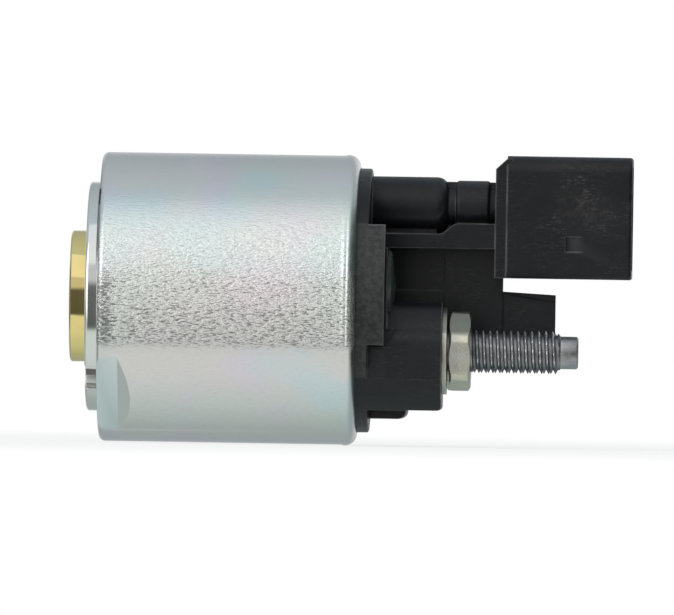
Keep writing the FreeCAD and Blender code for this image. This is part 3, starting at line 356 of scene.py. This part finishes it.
def scuff_group():
    """Light scuffs: thin stretched noise in two directions, broken up by patches."""
    group = bpy.data.node_groups.new("scuffs", "ShaderNodeTree")
    takes, gives = add_sockets(
        group,
        [("Vector", "NodeSocketVector", None), ("Amount", "NodeSocketFloat", 0.5),
         ("Scale", "NodeSocketFloat", 300.0)],
        [("Mask", "NodeSocketFloat")])
    lines = []
    for turn, squeeze in ((0.6, 0.30), (-0.5, 0.25), (1.4, 0.35), (2.3, 0.3)):
        turned = add_node(group, "ShaderNodeMapping", links=[("Vector", takes.outputs["Vector"])],
                          values=[("Rotation", (0.3, turn, 0.2)), ("Scale", (squeeze, 1.0, 1.0))])
        noise = add_node(group, "ShaderNodeTexNoise", values=[("Detail", 3.0), ("Roughness", 0.6)],
                         links=[("Vector", turned.outputs["Vector"]), ("Scale", takes.outputs["Scale"])])
        lines.append(fade(group, noise.outputs["Fac"], 0.58, 0.70))
    together = calculate(group, "MAXIMUM", calculate(group, "MAXIMUM", lines[0], lines[1]),
                         calculate(group, "MAXIMUM", lines[2], lines[3]))
    patch = add_node(group, "ShaderNodeTexNoise", links=[("Vector", takes.outputs["Vector"])],
                     values=[("Scale", 130.0), ("Detail", 3.0), ("Roughness", 0.6)])
    patches = fade(group, patch.outputs["Fac"], 0.38, 0.60)
    broken = calculate(group, "MULTIPLY", together, patches)
    mask = calculate(group, "MULTIPLY", broken, takes.outputs["Amount"])
    group.links.new(mask, gives.inputs["Mask"])
    return group


GRAIN = grain_group()
SCUFFS = scuff_group()


# Materials

class Finish:
    """A material under construction: its Principled shader and the object's own coordinates."""

    def __init__(self, name, base, roughness, metallic=0.0):
        self.material = bpy.data.materials.new(name)
        self.material.use_nodes = True
        self.tree = self.material.node_tree
        self.shader = self.tree.nodes["Principled BSDF"]
        self.shader.inputs["Base Color"].default_value = (*base, 1.0)
        self.shader.inputs["Roughness"].default_value = roughness
        self.shader.inputs["Metallic"].default_value = metallic
        self.place = self.tree.nodes.new("ShaderNodeTexCoord").outputs["Object"]
        self.axes = add_node(self.tree, "ShaderNodeSeparateXYZ", links=[("Vector", self.place)]).outputs

    def group(self, group, **values):
        """Places a shared effect, reading the object's own coordinates."""
        node = add_node(self.tree, "ShaderNodeGroup", node_tree=group)
        self.tree.links.new(self.place, node.inputs["Vector"])
        for name, value in values.items():
            node.inputs[name.replace("_", " ")].default_value = value
        return node.outputs

    def noise(self, scale, detail=2.0, roughness=0.5):
        """Plain noise on the object's own coordinates, scale in lumps a metre."""
        node = add_node(self.tree, "ShaderNodeTexNoise", links=[("Vector", self.place)],
                        values=[("Scale", scale), ("Detail", detail), ("Roughness", roughness)])
        return node.outputs["Fac"]

    def vector_math(self, operation, vector, *constant):
        """A Vector Math node on an output and, where it is given, a constant vector."""
        return add_node(self.tree, "ShaderNodeVectorMath", operation=operation, links=[(0, vector)],
                        values=[(1, value) for value in constant]).outputs

    def fade(self, value, limits, low=0.0, high=1.0):
        """A value carried smoothly from low to high between two limits."""
        return fade(self.tree, value, *limits, low, high)

    def span(self, value, limits_mm, low=0.0, high=1.0):
        """A distance carried smoothly from low to high between two limits in millimetres."""
        start, end = limits_mm
        return fade(self.tree, value, start * MM, end * MM, low, high)

    def math(self, operation, first, second=0.0):
        """A Math node on one or two outputs or numbers."""
        return calculate(self.tree, operation, first, second)

    def product(self, *factors):
        """The product of outputs and numbers."""
        result = factors[0]
        for factor in factors[1:]:
            result = self.math("MULTIPLY", result, factor)
        return result

    def mix(self, mask, below, above):
        """A colour that turns from one into another as the mask goes from 0 to 1."""
        return mix_colours(self.tree, mask, below, above)

    def edges(self, width_mm, low, high):
        """A mask of the piece's edges: how far the normal, rounded to that width, leans off the face."""
        rounded = add_node(self.tree, "ShaderNodeBevel", samples=8, values=[("Radius", width_mm * MM)])
        face = self.tree.nodes.new("ShaderNodeNewGeometry")
        lean = add_node(self.tree, "ShaderNodeVectorMath", operation="DOT_PRODUCT",
                        links=[(0, rounded.outputs["Normal"]), (1, face.outputs["Normal"])])
        return self.fade(lean.outputs["Value"], (1 - low, 1 - high))

    def put(self, socket, output):
        """Feeds an output to the shader's socket."""
        self.tree.links.new(output, self.shader.inputs[socket])

    def bump(self, height, distance_mm, edge_mm=0.0):
        """Relief from a height, over edges that are shaded as if rounded to edge_mm."""
        node = add_node(self.tree, "ShaderNodeBump", links=[("Height", height)],
                        values=[("Distance", distance_mm * MM)])
        if edge_mm:
            edge = add_node(self.tree, "ShaderNodeBevel", samples=6, values=[("Radius", edge_mm * MM)])
            self.tree.links.new(edge.outputs["Normal"], node.inputs["Normal"])
        self.put("Normal", node.outputs["Normal"])


def milled_flat(f):
    """The mask of the flat: level at its own depth from the axis, and sloping out behind."""
    outward = (0.0, -math.cos(FLAT_ANGLE), -math.sin(FLAT_ANGLE))
    level = f.vector_math("DOT_PRODUCT", f.place, outward)["Value"]
    off_level = f.math("ABSOLUTE", f.math("SUBTRACT", level, FLAT_LEVEL * MM))
    return f.product(f.span(off_level, (0.12, 0.02)), f.span(f.axes["X"], FLAT_BACK))


def zinc_film(f, band):
    """The plating's colour: pink and green clouds all over, violet and blue ones off the coarse band."""
    silver = (0.715, 0.70, 0.685)
    pink = (0.765, 0.69, 0.73)
    green = (0.64, 0.73, 0.67)
    violet = (0.74, 0.655, 0.75)
    blue = (0.58, 0.73, 0.78)
    smooth = f.math("SUBTRACT", 1.0, band)
    film = f.mix(f.fade(f.noise(42.0), (0.47, 0.66), 0.0, 0.75), silver, pink)
    film = f.mix(f.fade(f.noise(27.0, 1.5), (0.50, 0.68), 0.0, 0.6), film, green)
    for scale, colour in ((75.0, violet), (58.0, blue)):
        patches = f.product(smooth, f.fade(f.noise(scale, 1.5), (0.50, 0.68), 0.0, 0.55))
        film = f.mix(patches, film, colour)
    return film


def grain_pits(f, fine):
    """Dark pits where the fine grain is low: more near the front edge and low on the side."""
    near_edge = f.product(f.span(f.axes["X"], PITTED_EDGE), f.span(f.axes["Z"], PITTED_EDGE_TOP))
    lowered = f.math("SUBTRACT", fine, f.product(near_edge, 0.12))
    lowered = f.math("SUBTRACT", lowered, f.span(f.axes["Z"], (0.0, -5.0), 0.0, 0.035))
    return f.product(f.fade(lowered, (0.36, 0.45), 0.8, 0.0), f.span(f.axes["Z"], (1.0, 7.0), 1.0, 0.45))


def zinc_can():
    """Satin zinc with a band of coarse sparkling grain, passivation tints and a polished face rim."""
    f = Finish("zinc_plated_can", (0.66, 0.68, 0.69), 0.3, metallic=1.0)
    pit_colour = (0.12, 0.13, 0.13)
    milled_colour = (0.62, 0.67, 0.68)
    corner_shade_colour = (0.06, 0.065, 0.07)
    grain = f.group(GRAIN, Grain_size_mm=0.23, Stretch=0.22)
    flat = milled_flat(f)
    # The turned rim of the mounting face is polished, and what lies behind it has the grain,
    # coarse on a band along both sides and fine above and below it
    grained = f.product(f.span(f.axes["X"], RIM_BACK), f.math("SUBTRACT", 1.0, flat))
    band = f.product(f.span(f.axes["Z"], BAND_FOOT, 0.06, 1.0), f.span(f.axes["Z"], BAND_SHOULDER, 1.0, 0.55),
                     f.span(f.axes["Z"], BAND_TOP, 1.0, 0.22))
    coarse = f.product(grained, band)
    pits = f.product(coarse, grain_pits(f, grain["Fine"]))
    colour = f.mix(pits, zinc_film(f, band), pit_colour)
    colour = f.mix(flat, colour, milled_colour)
    # Painted shade in the corner behind the rim, on its upper part
    corner_shade = f.product(f.span(f.axes["X"], CORNER_SHADE_FRONT), f.span(f.axes["X"], CORNER_SHADE_BACK),
                     f.span(f.axes["Z"], CORNER_SHADE_FOOT))
    f.put("Base Color", f.mix(corner_shade, colour, corner_shade_colour))
    f.put("Roughness", f.fade(grained, (0.0, 1.0), 0.12, 0.24))
    relief = f.math("ADD", grain["Fine"], f.product(grain["Streaks"], 0.3))
    # The rolled lip rises by a small step and falls off to its edge
    lip = f.product(f.span(f.axes["X"], LIP_STEP), f.span(f.axes["X"], LIP_SLOPE, LIP_HEIGHT, 0.0))
    f.bump(f.math("ADD", f.product(coarse, relief, GRAIN_HEIGHT), lip), 1.0, 0.15)
    return f.material


def turned_metal(name, base, roughness, ring_mm, depth_mm):
    """Metal turned on a lathe: fine rings round the axis and slight uneven polish."""
    f = Finish(name, base, roughness, metallic=1.0)
    rings = add_node(f.tree, "ShaderNodeMapping", links=[("Vector", f.place)],
                     values=[("Scale", (1.0, 0.02, 0.02))])
    lines = add_node(f.tree, "ShaderNodeTexNoise", links=[("Vector", rings.outputs["Vector"])],
                     values=[("Scale", 1 / (ring_mm * MM)), ("Detail", 2.0)])
    patches = f.noise(90.0, 3.0)
    darker = tuple(value * 0.82 for value in base)
    f.put("Base Color", f.mix(f.fade(patches, (0.35, 0.7)), base, darker))
    f.put("Roughness", f.fade(patches, (0.3, 0.7), roughness * 0.8, roughness * 1.3))
    f.bump(lines.outputs["Fac"], depth_mm)
    return f.material


def plated_metal(name, base, tinted, roughness, grain_mm, depth_mm, upper_face_shade=0.0):
    """Plated steel with a fine grain, patches of a second tint, and painted shade on the nuts' upper faces
    for the dark cap they reflect.
    """
    f = Finish(name, base, roughness, metallic=1.0)
    upper_face_shade_colour = (0.10, 0.10, 0.085)
    grain = f.group(GRAIN, Grain_size_mm=grain_mm, Stretch=1.0)
    colour = f.mix(f.fade(f.noise(260.0, 3.0, 0.6), (0.35, 0.68)), base, tinted)
    # Painted shade on the nuts' upper faces: a painted dark reflection of the cap above them
    if upper_face_shade:
        colour = f.mix(f.span(f.axes["Z"], NUT_UPPER_FACES, 0.0, upper_face_shade), colour, upper_face_shade_colour)
    f.put("Base Color", colour)
    f.put("Roughness", f.fade(grain["Streaks"], (0.3, 0.7), roughness * 0.8, roughness * 1.25))
    f.bump(grain["Fine"], depth_mm, 0.15)
    return f.material


def stud_steel():
    """Dull dark zinc on the thread: grey roots, crests rubbed brighter, and painted shade on the underside.

    The distance from the stud's own axis tells the roots from the crests, and both from the tip.
    """
    f = Finish("stud_steel", (0.3, 0.31, 0.32), 0.42, metallic=1.0)
    root_colour = (0.24, 0.245, 0.26)
    crest_colour = (0.95, 0.94, 0.94)
    underside_shade_colour = (0.13, 0.135, 0.14)
    grain = f.group(GRAIN, Grain_size_mm=0.25, Stretch=1.0)
    aside = f.math("SUBTRACT", f.math("ABSOLUTE", f.axes["Y"]), STUD_ASIDE * MM)
    above = f.math("SUBTRACT", f.axes["Z"], STUD_UP * MM)
    off_axis = add_node(f.tree, "ShaderNodeCombineXYZ", links=[("Y", aside), ("Z", above)])
    radius = f.vector_math("LENGTH", off_axis.outputs["Vector"])["Value"]
    lightened = f.product(f.span(radius, (3.4, 3.84)), f.span(above, (-3.2, -1.6)))
    thread = f.mix(lightened, root_colour, crest_colour)
    # Painted shade on the stud's underside
    thread = f.mix(f.span(above, (-2.4, -3.2)), thread, underside_shade_colour)
    plain = f.mix(f.fade(f.noise(500.0), (0.35, 0.65)), (0.34, 0.35, 0.37), (0.42, 0.42, 0.42))
    f.put("Base Color", f.mix(f.span(radius, (3.0, 3.1)), plain, thread))
    f.put("Roughness", f.fade(grain["Streaks"], (0.3, 0.7), 0.36, 0.55))
    f.bump(grain["Fine"], 0.02)
    return f.material


def black_plastic():
    """Glass-filled black moulding: fine mould texture, dull sheen, painted highlights on the edges and light
    scuffs.
    """
    f = Finish("black_plastic", (0.02, 0.021, 0.024), 0.45)
    f.shader.inputs["Specular IOR Level"].default_value = 0.3
    black = (0.0048, 0.0054, 0.0072)
    dark_grey = (0.0088, 0.0094, 0.0120)
    film_colour = (0.042, 0.046, 0.044)
    haze_colour = (0.034, 0.032, 0.030)
    scuff_colour = (0.12, 0.115, 0.11)
    edge_highlight_colour = (0.15, 0.15, 0.147)
    grain = f.group(GRAIN, Grain_size_mm=0.22, Stretch=1.0)
    scuffs = f.group(SCUFFS, Amount=1.0, Scale=2300.0)
    # Scuffs and haze gather on the socket's sides where it is handled, and are few elsewhere
    sideways = f.vector_math("MULTIPLY", f.place, GRIP_SQUEEZE)["Vector"]
    grip = tuple(value * MM for value in GRIP_PLACE)
    from_grip = f.vector_math("DISTANCE", sideways, grip)["Value"]
    marks = f.product(scuffs["Mask"], f.span(from_grip, (5.0, 12.0), 1.0, 0.25))
    haze = f.product(f.span(from_grip, (2.0, 7.5), 0.5, 0.0), f.fade(f.noise(900.0, 4.0, 0.7), (0.35, 0.65)))
    # The rim walls beside the resin carry a thin grey-green film
    from_middle = f.math("ABSOLUTE", f.axes["Y"])
    on_walls = f.product(f.span(f.axes["X"], WALL_FRONT), f.span(from_middle, WALL_ASIDE))
    film = f.product(on_walls, f.fade(grain["Streaks"], (0.35, 0.65), 0.35, 1.0))
    # Painted highlights on the outer edges, uneven, and hardly any on those between the two terminals
    outside = f.span(from_middle, (2.5, 4.0), 0.2, 1.0)
    lightened = f.product(outside, f.fade(f.noise(180.0), (0.3, 0.6), 0.35, 1.0))
    edge_highlight = f.product(f.edges(0.50, 0.01, 0.24), lightened)
    colour = f.mix(f.fade(f.noise(70.0, 3.0, 0.6), (0.35, 0.7)), black, dark_grey)
    layers = ((film, film_colour), (haze, haze_colour), (f.product(marks, 0.4), scuff_colour),
              (edge_highlight, edge_highlight_colour))
    for mask, layer_colour in layers:
        colour = f.mix(mask, colour, layer_colour)
    f.put("Base Color", colour)
    rough = f.fade(grain["Streaks"], (0.3, 0.7), 0.33, 0.45)
    f.put("Roughness", f.math("ADD", rough, f.product(marks, 0.2)))
    f.bump(f.math("ADD", grain["Fine"], f.product(marks, 0.6)), 0.012, 0.42)
    return f.material


def moulded(name, base, second, roughness, lumps, depth_mm, coat=0.0):
    """A moulded, cast or pressed soft material with gentle colour clouds and a fine texture."""
    f = Finish(name, base, roughness)
    f.shader.inputs["Coat Weight"].default_value = coat
    f.put("Base Color", f.mix(f.fade(f.noise(lumps, 3.0, 0.6), (0.35, 0.68)), base, second))
    f.put("Roughness", f.fade(f.noise(lumps * 3), (0.3, 0.7), roughness * 0.85, roughness * 1.2))
    f.bump(f.noise(lumps * 6), depth_mm)
    return f.material


def wound_copper():
    """Enamelled wire laid turn by turn: ridges along the coil, with slightly uneven colour."""
    f = Finish("coil_copper", (0.72, 0.30, 0.13), 0.3, metallic=1.0)
    turns = add_node(f.tree, "ShaderNodeTexWave", links=[("Vector", f.place)], wave_type="BANDS",
                     bands_direction="X", wave_profile="SIN",
                     values=[("Scale", WIRE_WAVE_SCALE), ("Distortion", 0.4), ("Detail", 1.0)])
    patches = f.noise(150.0, 3.0)
    f.put("Base Color", f.mix(patches, (0.62, 0.24, 0.10), (0.80, 0.38, 0.18)))
    f.put("Roughness", f.fade(patches, (0.3, 0.7), 0.22, 0.36))
    f.bump(turns.outputs["Fac"], 0.12)
    return f.material


def all_finishes():
    """Every material slot's finish, by the slot's name."""
    turned = {
        "polished_brass": ((0.84, 0.69, 0.30), 0.09, 0.12, 0.002),
        "core_steel": ((0.42, 0.42, 0.43), 0.32, 0.15, 0.008),
        "plunger_steel": ((0.52, 0.52, 0.53), 0.24, 0.12, 0.006),
    }
    plated = {
        "spring_steel": ((0.40, 0.40, 0.42), (0.50, 0.48, 0.45), 0.3, 0.2, 0.004),
        # The fastener's last value is the strength of the painted shade on the nuts' upper faces
        "zinc_plated_fastener": ((0.54, 0.545, 0.505), (0.60, 0.58, 0.46), 0.42, 0.40, 0.05, 0.62),
        "tinned_blade": ((0.70, 0.70, 0.68), (0.62, 0.62, 0.61), 0.25, 0.3, 0.004),
        "contact_copper": ((0.75, 0.36, 0.20), (0.62, 0.27, 0.15), 0.28, 0.3, 0.006),
    }
    soft = {
        "bobbin_plastic": ((0.45, 0.42, 0.33), (0.52, 0.49, 0.40), 0.5, 160.0, 0.01),
        "wrap_paper": ((0.60, 0.52, 0.32), (0.68, 0.60, 0.40), 0.8, 300.0, 0.03),
        "seal_rubber": ((0.02, 0.02, 0.02), (0.03, 0.03, 0.03), 0.7, 400.0, 0.01),
        "potting_resin": ((0.030, 0.042, 0.036), (0.06, 0.075, 0.062), 0.22, 120.0, 0.05, 0.4),
    }
    made = {
        "zinc_plated_can": zinc_can(),
        "stud_steel": stud_steel(),
        "black_plastic": black_plastic(),
        "coil_copper": wound_copper(),
    }
    for maker, table in ((turned_metal, turned), (plated_metal, plated), (moulded, soft)):
        for name, values in table.items():
            made[name] = maker(name, *values)
    return made


# Dressing the solids, and the pieces that take their place

finishes = all_finishes()

for part in frame["record"]["subparts"]:
    piece = nodes[part["node"]]
    piece.data.materials.clear()
    piece.data.materials.append(finishes[part["material_slot"]])
    soften(piece, 32)

for side in ("battery", "motor"):
    piece = stud(side, finishes["stud_steel"])
    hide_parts(side + "_stud")
    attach(piece, "housing")

for node, body, wire, turns in PRESSED_SPRINGS:
    piece, low, high = pressed_spring(node, wire, turns, finishes["spring_steel"])
    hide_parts(node)
    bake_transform(piece)


# Floor, light and camera

NEUTRAL = (1.0, 1.0, 1.0)
BLUISH = (0.89, 1.01, 1.07)
GREENISH = (0.89, 1.02, 0.985)
FAINT_GREEN = (0.975, 1.0, 0.985)
STUDIO_LEVELS = (
    (-180, 0.75, NEUTRAL), (-160, 0.42, BLUISH), (-125, 0.52, GREENISH), (-95, 0.72, GREENISH),
    (-65, 0.84, FAINT_GREEN), (-36, 0.86, FAINT_GREEN), (-32, 0.115, NEUTRAL), (10, 0.115, NEUTRAL),
    (16, 0.70, NEUTRAL), (58, 0.63, NEUTRAL), (84, 0.68, BLUISH), (120, 0.58, BLUISH),
    (155, 0.45, BLUISH), (180, 0.75, NEUTRAL),
)

# Floor, in metres: half its width, its colour, and the share of it that is plain white to the camera
# near the object, which grows to all of it between two distances
FLOOR_REACH = 6.0
FLOOR_GREY = 0.88
FLOOR_WHITE_SHARE = 0.76
FLOOR_FADE = (0.10, 0.45)

# Sideways limits of the panel left of the camera and of the dark right side, and their angles up
# from the camera
LEFT_PANEL = (-0.06, -0.18)
LEFT_PANEL_FOOT = (-40, -10)
LEFT_PANEL_TOP = (62, 50)
LEFT_PANEL_LIGHT = (1.75, 1.75, 1.72)
RIGHT_SIDE = (0.72, 0.82)
RIGHT_SIDE_FOOT = (-40, -25)
RIGHT_SIDE_LIGHT = (0.12, 0.12, 0.12)


def add_floor():
    """A pale floor at the can's lowest line that keeps a faint shadow and is white further off."""
    level = cad_low.z
    mesh = bpy.data.meshes.new("floor")
    signs = ((-1, -1), (1, -1), (1, 1), (-1, 1))
    corners = [(FLOOR_REACH * across, FLOOR_REACH * along, level) for across, along in signs]
    mesh.from_pydata(corners, [], [(0, 1, 2, 3)])
    floor = bpy.data.objects.new("floor", mesh)
    bpy.context.scene.collection.objects.link(floor)
    material = bpy.data.materials.new("pale_floor")
    material.use_nodes = True
    tree = material.node_tree
    shader = tree.nodes["Principled BSDF"]
    shader.inputs["Base Color"].default_value = (FLOOR_GREY, FLOOR_GREY, FLOOR_GREY, 1)
    shader.inputs["Roughness"].default_value = 0.9
    place = tree.nodes.new("ShaderNodeTexCoord").outputs["Object"]
    distance = add_node(tree, "ShaderNodeVectorMath", operation="LENGTH", links=[(0, place)]).outputs["Value"]
    light = tree.nodes.new("ShaderNodeLightPath").outputs
    seen = calculate(tree, "MAXIMUM", light["Is Camera Ray"], light["Is Transmission Ray"])
    share = calculate(tree, "MULTIPLY", seen, fade(tree, distance, *FLOOR_FADE, FLOOR_WHITE_SHARE, 1.0))
    white = add_node(tree, "ShaderNodeEmission", values=[("Strength", 1.0)])
    blend = add_node(tree, "ShaderNodeMixShader", links=[
        ("Fac", share), (1, shader.outputs[0]), (2, white.outputs[0])])
    # Metal sees the pale levels of the world below the horizon in place of the floor
    clear = tree.nodes.new("ShaderNodeBsdfTransparent")
    surface = add_node(tree, "ShaderNodeMixShader", links=[
        ("Fac", light["Is Glossy Ray"]), (1, blend.outputs[0]), (2, clear.outputs[0])])
    tree.links.new(surface.outputs[0], tree.nodes["Material Output"].inputs["Surface"])
    mesh.materials.append(material)
    floor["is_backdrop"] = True


def add_world():
    """A soft studio: light panels above and below the front, dimmer behind, darker round the camera.

    The level follows the direction's angle round the object's axis, from 0 at the camera over
    a quarter turn straight up to half a turn behind.
    """
    world = bpy.data.worlds.new("studio")
    bpy.context.scene.world = world
    world.use_nodes = True
    tree = world.node_tree
    around = tree.nodes.new("ShaderNodeTexCoord").outputs["Generated"]
    direction = add_node(tree, "ShaderNodeSeparateXYZ", links=[("Vector", around)]).outputs
    towards = calculate(tree, "MULTIPLY", direction["Y"], -1.0)
    angle = calculate(tree, "ARCTAN2", direction["Z"], towards)
    turn = fade_linear(tree, angle, -math.pi, math.pi)
    studio = add_node(tree, "ShaderNodeValToRGB", links=[("Fac", turn)])
    ramp = studio.color_ramp
    for place, level, tint in STUDIO_LEVELS:
        element = ramp.elements.new((place + 180) / 360)
        element.color = (*(level * part for part in tint), 1)
    ramp.elements.remove(ramp.elements[0])
    ramp.elements.remove(ramp.elements[-1])
    # A panel stands to the left of the camera, and the right side is dark
    left_height = calculate(tree, "MULTIPLY", fade(tree, angle, *np.radians(LEFT_PANEL_FOOT)),
                            fade(tree, angle, *np.radians(LEFT_PANEL_TOP)))
    to_left = calculate(tree, "MULTIPLY", fade(tree, direction["X"], *LEFT_PANEL), left_height)
    studio = mix_colours(tree, to_left, studio.outputs["Color"], LEFT_PANEL_LIGHT)
    to_right = calculate(tree, "MULTIPLY", fade(tree, direction["X"], *RIGHT_SIDE),
                         fade(tree, angle, *np.radians(RIGHT_SIDE_FOOT)))
    studio = mix_colours(tree, to_right, studio, RIGHT_SIDE_LIGHT)
    sideways = calculate(tree, "ABSOLUTE", direction["X"], 0.0)
    dimmed = fade(tree, sideways, 0.80, 0.97, 1.0, 0.45)
    studio = add_node(tree, "ShaderNodeVectorMath", operation="SCALE",
                      links=[(0, studio), ("Scale", dimmed)]).outputs["Vector"]
    light = tree.nodes.new("ShaderNodeLightPath").outputs
    seen = calculate(tree, "MAXIMUM", light["Is Camera Ray"], light["Is Transmission Ray"])
    colour = mix_colours(tree, seen, studio, NEUTRAL)
    background = tree.nodes["Background"]
    tree.links.new(colour, background.inputs["Color"])


def add_lamp(name, place, size, watts):
    """A square soft lamp aimed at the object's middle."""
    data = bpy.data.lights.new(name, "AREA")
    data.shape = "RECTANGLE"
    data.size, data.size_y = size
    data.energy = watts
    lamp = bpy.data.objects.new(name, data)
    bpy.context.scene.collection.objects.link(lamp)
    lamp.location = place
    aim = TARGET - Vector(place)
    lamp.rotation_mode = "QUATERNION"
    lamp.rotation_quaternion = aim.to_track_quat("-Z", "Y")


def add_camera():
    """A long lens a little to the terminals' side, rolled as the photograph is."""
    turn = math.radians(CAMERA_TURN)
    back = Vector((math.sin(turn), -math.cos(turn), 0))
    data = bpy.data.cameras.new("camera")
    data.sensor_fit = "HORIZONTAL"
    data.sensor_width = 36.0
    data.lens = data.sensor_width * CAMERA_DISTANCE / (IMAGE_WIDTH_PX * MM_A_PIXEL * MM)
    data.clip_start = 0.1
    data.clip_end = 20.0
    camera = bpy.data.objects.new("camera", data)
    bpy.context.scene.collection.objects.link(camera)
    camera.location = TARGET + back * CAMERA_DISTANCE
    camera.rotation_mode = "QUATERNION"
    roll = Quaternion((0, 0, 1), math.radians(CAMERA_ROLL))
    camera.rotation_quaternion = (-back).to_track_quat("-Z", "Y") @ roll
    bpy.context.scene.camera = camera


add_floor()
add_world()
add_lamp("key_above", (0.10, -0.55, 0.80), (1.0, 0.8), 0.9)
add_lamp("fill_left", (-0.8, -0.5, 0.25), (0.5, 0.6), 0.6)
add_camera()
bpy.context.scene.view_settings.view_transform = "Standard"

low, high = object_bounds()
{"cad": [list(cad_low), list(cad_high)], "visual": [list(low), list(high)]}
